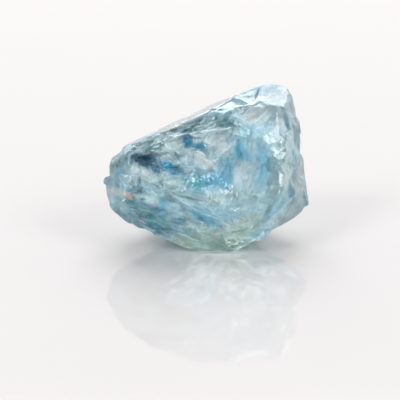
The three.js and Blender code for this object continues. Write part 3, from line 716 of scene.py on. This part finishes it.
def fine_relief(points):
    """How far the small breaks reach in: broad dishes everywhere, drawn-out dishes with the grain of
    each area, and crumbs where the stone is frosted. Also their ridges and the dishes' own values."""
    warped = points + WARP["reach"] * noise_shift(points * WARP["fineness"], CHANNELS["warp"])
    calm = 1 - CALM_SHARE * np.max([area_share(points, PATCHES[name]) for name in CALM], axis=0)
    broad, broad_ridge, own = dishes(warped / BROAD["size"], CHANNELS["broad"])
    inward = BROAD["depth"] * broad * (BROAD["calmest"] + (1 - BROAD["calmest"]) * calm)
    small, small_ridge, small_own = np.zeros((3, len(points)))
    for grain, share, channel in zip((*GRAINS, BACK_GRAIN), grain_shares(points), CHANNELS["grains"]):
        dish, ridge, value = dishes(stretched(warped, grain.size, grain.turn, grain.stretch), channel)
        small += share * grain.depth * dish
        small_ridge += share * ridge
        small_own += share * value
    frost = np.max([patch.frost * area_share(points, patch) for patch in PATCHES.values()], axis=0)
    crumb = rough_noise(points / CRUMBS["size"], CHANNELS["crumbs"], CRUMBS["octaves"])
    small += CRUMBS["depth"] * (CRUMBS["least"] + frost) * (1 + crumb) / 2
    return Relief(inward + small * calm, np.maximum(broad_ridge, small_ridge * calm), own, small_own)


def threads(points):
    """The bands of the threads, from -1 (dark gap) to 1 (pale), and their thin pale lines, 0 to 1."""
    wander = noise_shift(points * THREADS["wander_fineness"], CHANNELS["wander"])
    wandered = points + THREADS["wander"] * wander
    band, line = np.zeros((2, len(points)))
    for i, (grain, share) in enumerate(zip((*GRAINS, BACK_GRAIN), grain_shares(points))):
        cells = stretched(wandered, THREADS["size"], grain.turn, THREADS["stretch"])
        band += share * rough_noise(cells, CHANNELS["bands"] + 10 * i, 3)
        crossing = np.abs(rough_noise(cells * THREADS["line_fineness"], CHANNELS["lines"] + 10 * i, 2))
        line += share * (1 - eased(crossing, 0, THREADS["line"]))
    return np.clip(THREADS["band"] * band, -1, 1), line


# ---- The skin's colours ----


def skin_tone(colour):
    """A linear colour from one of 0 to 255, deepened."""
    part = np.array(colour) / 255
    linear = np.where(part <= 0.04045, part / 12.92, ((part + 0.055) / 1.055) ** 2.4)
    return linear**DEEPEN


def stain_socket(colour):
    return (*skin_tone(colour).tolist(), 1)


def tinted(colour, share, tone):
    """Colours moved towards a tone by each point's share."""
    return colour + share[:, None] * (tone - colour)


def clouded_skin(points, shift):
    """The skin without its patches: pale, with clouds of blue and green. Also its frost and flecks,
    with more of both where it is palest."""
    cloud = rough_noise((points + shift) * BLUE_CLOUDS["fineness"], CHANNELS["blue"], 4)
    green = rough_noise(points * GREEN_CLOUDS["fineness"], CHANNELS["green"], 3)
    colour = np.full((len(points), 3), skin_tone(PALE))
    colour = tinted(colour, eased(cloud, BLUE_CLOUDS["low"], BLUE_CLOUDS["high"]), skin_tone(BLUE))
    greened = GREEN_CLOUDS["cover"] * eased(green, GREEN_CLOUDS["low"], GREEN_CLOUDS["high"])
    palest = eased(-cloud, 0, PALEST)
    frost, flecks = (least + more * palest for least, more in (PLAIN_FROST, PLAIN_FLECKS))
    return tinted(colour, greened, skin_tone(GREEN_GREY)), frost, flecks


def skin_colours(points, relief, band, line, grown):
    """The skin tone at each point: the clouded skin, then each patch over it, its edge made ragged by
    noise, then painted light and shade at random on each small break, painted shade in the gaps
    between threads, the pale threads, the ridges painted pale as wear and highlight, and the grown
    face. Also how frosted and how flecked the skin is."""
    shift = RAGGED * noise_shift(points * RAGGED_FINENESS, CHANNELS["ragged"], 4)
    colour, frost, flecks = clouded_skin(points, shift)
    for patch in PATCHES.values():
        width = min(patch.half[1], 1)
        share = patch.cover * area_share(points + width * shift, patch)
        colour = tinted(colour, share, skin_tone(TONES[patch.tone]))
        frost += share * (patch.frost - frost)
        flecks += share * (patch.flecks - flecks)
    # Painted light and shade: each small break is made lighter or darker at random, as breaks catch the
    # light differently.
    painted_light_strength = LEAST_PAINTED_SHADE + (1 - LEAST_PAINTED_SHADE) * np.minimum(2 * flecks, 1)
    uneven = FACET_PAINTED_SHADE * (relief.small_own - 0.5) + WIDE_PAINTED_SHADE * (relief.own - 0.5)
    # Painted shade in the gaps between threads, which the mesh also sinks.
    gap_shade = GAP_PAINTED_SHADE * flecks * eased(-band, *GAP_SHADE_RANGE)
    colour *= ((1 + painted_light_strength * uneven) * (1 - gap_shade))[:, None]
    pale = flecks * np.maximum(THREAD_PALENESS * eased(band, *THREAD_RANGE), LINE_PALENESS * line)
    # Ridges are painted pale, as wear and as a painted highlight along the edge.
    pale = np.maximum(pale, RIDGE_WEAR_AND_HIGHLIGHT * painted_light_strength * eased(relief.ridge, *RIDGE_HIGHLIGHT_RANGE))
    lightened = TINTED * np.sqrt(colour) + (1 - TINTED) * skin_tone(PALE_AND_HIGHLIGHT_WHITE)
    colour = tinted(colour, pale, lightened)
    colour = tinted(colour, GROWN_COVER * grown, skin_tone(GROWN_PINK))
    return np.clip(colour, 0, 1), frost, flecks


# ---- The stone's mesh ----

# How far above the foot the fine relief has come in fully, and how much of it the grown face has.
FOOT_FADE = 0.25
GROWN_RELIEF = 0.3

# Edges sharper than this, in degrees, are drawn sharp.
SHARP_EDGE = 26


def cube_sphere(steps):
    """Unit rays through a grid on the six sides of a cube, drawn in by equal angles, and its quads.
    Rays on a shared edge are one."""
    angle = np.tan(np.linspace(-1, 1, steps + 1) * np.pi / 4)
    a, b = np.meshgrid(angle, angle, indexing="ij")
    one = np.ones_like(a)
    sides = [(one, a, b), (-one, b, a), (b, one, a), (a, -one, b), (a, b, one), (b, a, -one)]
    points = np.concatenate([np.stack([c.ravel() for c in side], 1) for side in sides])
    i, j = np.meshgrid(np.arange(steps), np.arange(steps), indexing="ij")
    row = steps + 1
    first = (i * row + j).ravel()
    quad = np.stack([first, first + row, first + row + 1, first + 1], 1)
    quads = np.concatenate([quad + side * row * row for side in range(6)])
    merged, index = np.unique(np.round(points, 6), axis=0, return_inverse=True)
    return merged / np.linalg.norm(merged, axis=1, keepdims=True), index.ravel()[quads]


def to_row(points):
    """Front frame in millimetres to the row frame in metres: lean back by VIEW_DROP, then move."""
    t = np.radians(VIEW_DROP)
    x, y, z = points.T
    turned = np.stack([x, y * np.sin(t) - z * np.cos(t), y * np.cos(t) + z * np.sin(t)], 1)
    return (turned + HEART) * MM


def new_object(name, points, faces):
    mesh = bpy.data.meshes.new(name)
    mesh.from_pydata(points.tolist(), [], faces.tolist())
    made = bpy.data.objects.new(name, mesh)
    bpy.context.scene.collection.objects.link(made)
    return made


def keep_value(mesh, name, values):
    """Keeps one value a vertex, for the material to read."""
    attribute = mesh.attributes.new(name, "FLOAT", "POINT")
    attribute.data.foreach_set("value", values.astype(np.float32))


def keep_colour(mesh, name, colours):
    """Keeps one colour a vertex, for the material to read."""
    attribute = mesh.color_attributes.new(name, "FLOAT_COLOR", "POINT")
    opaque = np.column_stack([colours, np.ones(len(colours))])
    attribute.data.foreach_set("color", opaque.ravel().astype(np.float32))


def build_stone():
    """One closed skin: each ray from the heart ends at the stone's reach less the fine relief, which
    fades out at the foot."""
    rays, quads = cube_sphere(GRID)
    reach, grown = stone_reach(rays)
    points = rays * reach[:, None]
    relief = fine_relief(points)
    band, line = threads(points)
    colour, frost, flecks = skin_colours(points, relief, band, line, grown)
    gap = np.minimum((1 - band) / 2, 1 - line)
    inward = relief.inward + THREADS["depth"] * (THREADS["least"] + flecks) * gap
    above_foot = to_row(points)[:, 2] / MM
    fade = np.clip(above_foot / FOOT_FADE, 0, 1) * np.where(grown, GROWN_RELIEF, 1)
    points = rays * (reach - inward * fade)[:, None]
    stone = new_object("crystal", to_row(points), quads)
    mesh = stone.data
    mesh.shade_smooth()
    mesh.set_sharp_from_angle(angle=math.radians(SHARP_EDGE))
    keep_colour(mesh, "skin_tone", colour)
    keep_value(mesh, "frost", frost)
    keep_value(mesh, "flecks", flecks)
    drawn = [area_share(points, grain.area) for grain in GRAINS[: len(FINE_GRAINS)]]
    keep_colour(mesh, "grain", np.stack(drawn, 1))
    return stone


# ---- Shader nodes ----


def node(tree, kind, inputs=None, **settings):
    """A new node with its settings, and each input either set or linked."""
    made = tree.nodes.new(kind)
    for name, value in settings.items():
        setattr(made, name, value)
    for name, value in (inputs or {}).items():
        if isinstance(value, bpy.types.NodeSocket):
            tree.links.new(value, made.inputs[name])
        else:
            made.inputs[name].default_value = value
    return made


def blend(tree, share, below, above, how="MIX"):
    """Two colours blended by a share."""
    made = node(tree, "ShaderNodeMix", {0: share, 6: below, 7: above}, data_type="RGBA", blend_type=how)
    return made.outputs[2]


def calc(tree, how, a, b=0.0, clamp=False):
    return node(tree, "ShaderNodeMath", {0: a, 1: b}, operation=how, use_clamp=clamp).outputs[0]


def ranged(tree, value, low, high, to_low=0.0, to_high=1.0, smooth=False):
    """A value carried from one range to another and kept within it."""
    inputs = {"Value": value, "From Min": low, "From Max": high, "To Min": to_low, "To Max": to_high}
    kind = "SMOOTHSTEP" if smooth else "LINEAR"
    return node(tree, "ShaderNodeMapRange", inputs, interpolation_type=kind).outputs["Result"]


def noise_at(tree, place, scale, detail=3.0, roughness=0.55, distortion=0.0):
    inputs = {"Vector": place, "Scale": scale, "Detail": detail, "Roughness": roughness}
    inputs["Distortion"] = distortion
    return node(tree, "ShaderNodeTexNoise", inputs)


def value_of(tree, name):
    """The value that the mesh keeps under a name."""
    return node(tree, "ShaderNodeAttribute", attribute_name=name).outputs["Fac"]


def new_group(name, inputs, outputs):
    """An empty shader group with named sockets, and its input and output nodes."""
    tree = bpy.data.node_groups.new(name, "ShaderNodeTree")
    for socket, kind, default in inputs:
        made = tree.interface.new_socket(socket, in_out="INPUT", socket_type="NodeSocket" + kind)
        if default is not None:
            made.default_value = default
    for socket, kind in outputs:
        tree.interface.new_socket(socket, in_out="OUTPUT", socket_type="NodeSocket" + kind)
    return tree, tree.nodes.new("NodeGroupInput"), tree.nodes.new("NodeGroupOutput")


def grain_group():
    """Fine grain: noise drawn out along a turn, for flecks and small unevenness."""
    inputs = [
        ("Place", "Vector", None), ("Turn", "Vector", (0, 0, 0)), ("Stretch", "Vector", (1, 1, 1)),
        ("Scale", "Float", 2.0),
    ]
    tree, start, end = new_group("grain", inputs, [("Height", "Float")])
    put = start.outputs
    mapping = {"Vector": put["Place"], "Rotation": put["Turn"], "Scale": put["Stretch"]}
    place = node(tree, "ShaderNodeMapping", mapping, vector_type="TEXTURE").outputs[0]
    peaks = noise_at(tree, place, put["Scale"], detail=4.0, roughness=0.68).outputs["Fac"]
    tree.links.new(peaks, end.inputs["Height"])
    return tree


def use_group(tree, group, inputs):
    made = tree.nodes.new("ShaderNodeGroup")
    made.node_tree = group
    for name, value in inputs.items():
        if isinstance(value, bpy.types.NodeSocket):
            tree.links.new(value, made.inputs[name])
        else:
            made.inputs[name].default_value = value
    return made.outputs[0]


# ---- Materials ----

# Flecks: the range of the grain's height over which they come in, and how strong they grow.
DARK_FLECKS = (0.46, 0.36, 0, 0.5)
PALE_FLECKS = (0.54, 0.62, 0, 0.5)

# Roughness where the skin is clear and where it is frosted, and the grain's height without flecks
# and with them.
CLEAR_TO_FROSTED = (0.06, 0.38)
GRAIN_HEIGHTS = (0.25, 1.2)

# How fine the floor's unevenness is, and its roughness.
FLOOR_MOTTLE = 60.0
FLOOR_ROUGHNESS = (0.04, 0.07)


def front_place(tree):
    """Object coordinates carried into the front frame, in millimetres."""
    place = node(tree, "ShaderNodeTexCoord").outputs["Object"]
    heart = tuple(c * MM for c in HEART)
    lean = (math.radians(90 - VIEW_DROP), 0, 0)
    inputs = {"Vector": place, "Location": heart, "Rotation": lean, "Scale": (MM, MM, MM)}
    return node(tree, "ShaderNodeMapping", inputs, vector_type="TEXTURE").outputs[0]


# Turn and stretch of the fine grain in each of its three areas, and its scale there.
FINE_GRAINS = ((-28, 5, 2.6), (24, 4, 2.8), (84, 5, 1.6))
PLAIN_GRAIN = 2.4


def fine_grain(tree, place):
    """The height of the fine grain: drawn out in its own areas, and even elsewhere."""
    group = grain_group()
    height = use_group(tree, group, {"Place": place, "Scale": PLAIN_GRAIN})
    shares = node(tree, "ShaderNodeAttribute", attribute_name="grain").outputs["Color"]
    parts = node(tree, "ShaderNodeSeparateColor", {0: shares})
    for share, (turn, stretch, scale) in zip(parts.outputs, FINE_GRAINS):
        inputs = {"Place": place, "Scale": scale, "Stretch": (stretch, 1, 1)}
        inputs["Turn"] = (0, 0, math.radians(turn))
        drawn = use_group(tree, group, inputs)
        height = node(tree, "ShaderNodeMix", {0: share, 2: height, 3: drawn}).outputs[0]
    return height


def crystal_material():
    """Clear crystal: plain transmission, refraction and absorption. Its skin is stained patch by
    patch, frosted and flecked, and painted pale along its ridges as wear and a painted highlight."""
    material = bpy.data.materials.new("crystal")
    material.use_nodes = True
    tree = material.node_tree
    shader = tree.nodes["Principled BSDF"]
    place = front_place(tree)
    colour = node(tree, "ShaderNodeAttribute", attribute_name="skin_tone").outputs["Color"]
    frost, flecks = value_of(tree, "frost"), value_of(tree, "flecks")
    height = fine_grain(tree, place)

    dark = calc(tree, "MULTIPLY", ranged(tree, height, *DARK_FLECKS), flecks)
    colour = blend(tree, dark, colour, stain_socket(DARK_FLECK))
    white = calc(tree, "MULTIPLY", ranged(tree, height, *PALE_FLECKS), flecks)
    colour = blend(tree, white, colour, stain_socket(PALE_AND_HIGHLIGHT_WHITE))

    rough = ranged(tree, frost, 0, 1, *CLEAR_TO_FROSTED)
    bump_height = calc(tree, "MULTIPLY", height, ranged(tree, flecks, 0, 1, *GRAIN_HEIGHTS))
    bump = node(tree, "ShaderNodeBump", {"Height": bump_height, "Strength": 0.2, "Distance": 0.3 * MM})

    tree.links.new(colour, shader.inputs["Base Color"])
    tree.links.new(rough, shader.inputs["Roughness"])
    tree.links.new(bump.outputs[0], shader.inputs["Normal"])
    shader.inputs["IOR"].default_value = IOR
    shader.inputs["Transmission Weight"].default_value = TRANSMISSION
    absorption = node(tree, "ShaderNodeVolumeAbsorption", {"Color": ABSORBED_COLOUR, "Density": ABSORPTION})
    tree.links.new(absorption.outputs[0], tree.nodes["Material Output"].inputs["Volume"])
    return material


def floor_material():
    """Smooth white board with a faint mirror sheen, and the least unevenness in its colour."""
    material = bpy.data.materials.new("floor")
    material.use_nodes = True
    tree = material.node_tree
    shader = tree.nodes["Principled BSDF"]
    place = node(tree, "ShaderNodeTexCoord").outputs["Object"]
    mottle = noise_at(tree, place, FLOOR_MOTTLE).outputs["Fac"]
    colour = blend(tree, mottle, FLOOR_DARK, FLOOR_PALE)
    tree.links.new(colour, shader.inputs["Base Color"])
    tree.links.new(ranged(tree, mottle, 0, 1, *FLOOR_ROUGHNESS), shader.inputs["Roughness"])
    shader.inputs["Specular IOR Level"].default_value = FLOOR_SHEEN
    return material


# ---- Stage ----

LENS = 135
SENSOR = 36
VIEW_WIDTH = 0.048
IMAGE = 400
HEART_PIXEL = (212, 172)
FLOOR_HALF = 3.0
FLOOR_DARK = (0.525, 0.512, 0.512, 1)
FLOOR_PALE = (0.535, 0.522, 0.522, 1)
FLOOR_SHEEN = 0.45


def build_floor():
    corners = [(-1, -1, 0), (1, -1, 0), (1, 1, 0), (-1, 1, 0)]
    floor = new_object("floor", np.array(corners) * FLOOR_HALF, np.array([[0, 1, 2, 3]]))
    floor.data.materials.append(floor_material())


def aim(thing, place, target):
    """Places a thing so that it looks at the target, with its top up."""
    thing.location = place
    thing.rotation_euler = (Vector(target) - Vector(place)).to_track_quat("-Z", "Y").to_euler()


def build_camera():
    """A long lens, VIEW_DROP above the level, so far off that the view at the heart is VIEW_WIDTH
    wide, and aimed so that the heart lies at its pixel."""
    camera = bpy.data.objects.new("camera", bpy.data.cameras.new("camera"))
    bpy.context.scene.collection.objects.link(camera)
    camera.data.lens = LENS
    camera.data.sensor_width = SENSOR
    camera.data.clip_start = 0.01
    t = math.radians(VIEW_DROP)
    back = Vector((0, -math.cos(t), math.sin(t)))
    right, up = Vector((1, 0, 0)), Vector((0, math.sin(t), math.cos(t)))
    pixel = VIEW_WIDTH / IMAGE
    aside, below = IMAGE / 2 - HEART_PIXEL[0], IMAGE / 2 - HEART_PIXEL[1]
    target = Vector(HEART) * MM + right * aside * pixel - up * below * pixel
    aim(camera, target + back * VIEW_WIDTH * LENS / SENSOR, target)
    bpy.context.scene.camera = camera


# Soft boxes: azimuth (0 is behind the camera, 90 to its right), elevation, distance, width, height
# and power.
LIGHTS = {
    "key": (180, 52, 0.6, 0.5, 0.5, 3.6),
    "left": (-52, 42, 0.5, 0.16, 0.16, 0.9),
    "right": (60, 38, 0.5, 0.2, 0.2, 0.85),
}


def build_lights():
    centre = Vector((0, 0, HEART[2] * MM))
    for name, (azimuth, elevation, distance, width, height, power) in LIGHTS.items():
        light = bpy.data.lights.new(name, "AREA")
        light.shape = "RECTANGLE"
        light.size, light.size_y = width, height
        light.energy = power
        lamp = bpy.data.objects.new(name, light)
        bpy.context.scene.collection.objects.link(lamp)
        a, e = math.radians(azimuth), math.radians(elevation)
        out = Vector((math.sin(a) * math.cos(e), -math.cos(a) * math.cos(e), math.sin(e)))
        aim(lamp, centre + out * distance, centre)


TENT_FRONT = (0.3, 0.3, 0.3, 1)
BACKDROP = (1.03, 1.005, 1.0, 1)
OVERHEAD = (0.9, 0.9, 0.9, 1)


def build_world():
    """A light tent: a bright sweep behind, dimmer overhead and towards the open front."""
    world = bpy.data.worlds.new("tent")
    bpy.context.scene.world = world
    world.use_nodes = True
    tree = world.node_tree
    way = node(tree, "ShaderNodeTexCoord").outputs["Generated"]
    x, y, z = node(tree, "ShaderNodeSeparateXYZ", {0: way}).outputs
    back = blend(tree, ranged(tree, z, 0.2, 0.6, smooth=True), BACKDROP, OVERHEAD)
    light = blend(tree, ranged(tree, y, -0.6, 0.4, smooth=True), TENT_FRONT, back)
    tree.links.new(light, tree.nodes["Background"].inputs["Color"])


# ---- The whole ----

bpy.context.scene.view_settings.view_transform = "Standard"
build_camera()
build_world()
build_lights()
build_floor()
stone = build_stone()
stone.data.materials.append(crystal_material())
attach(stone, "root")
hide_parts("rough_diamond")
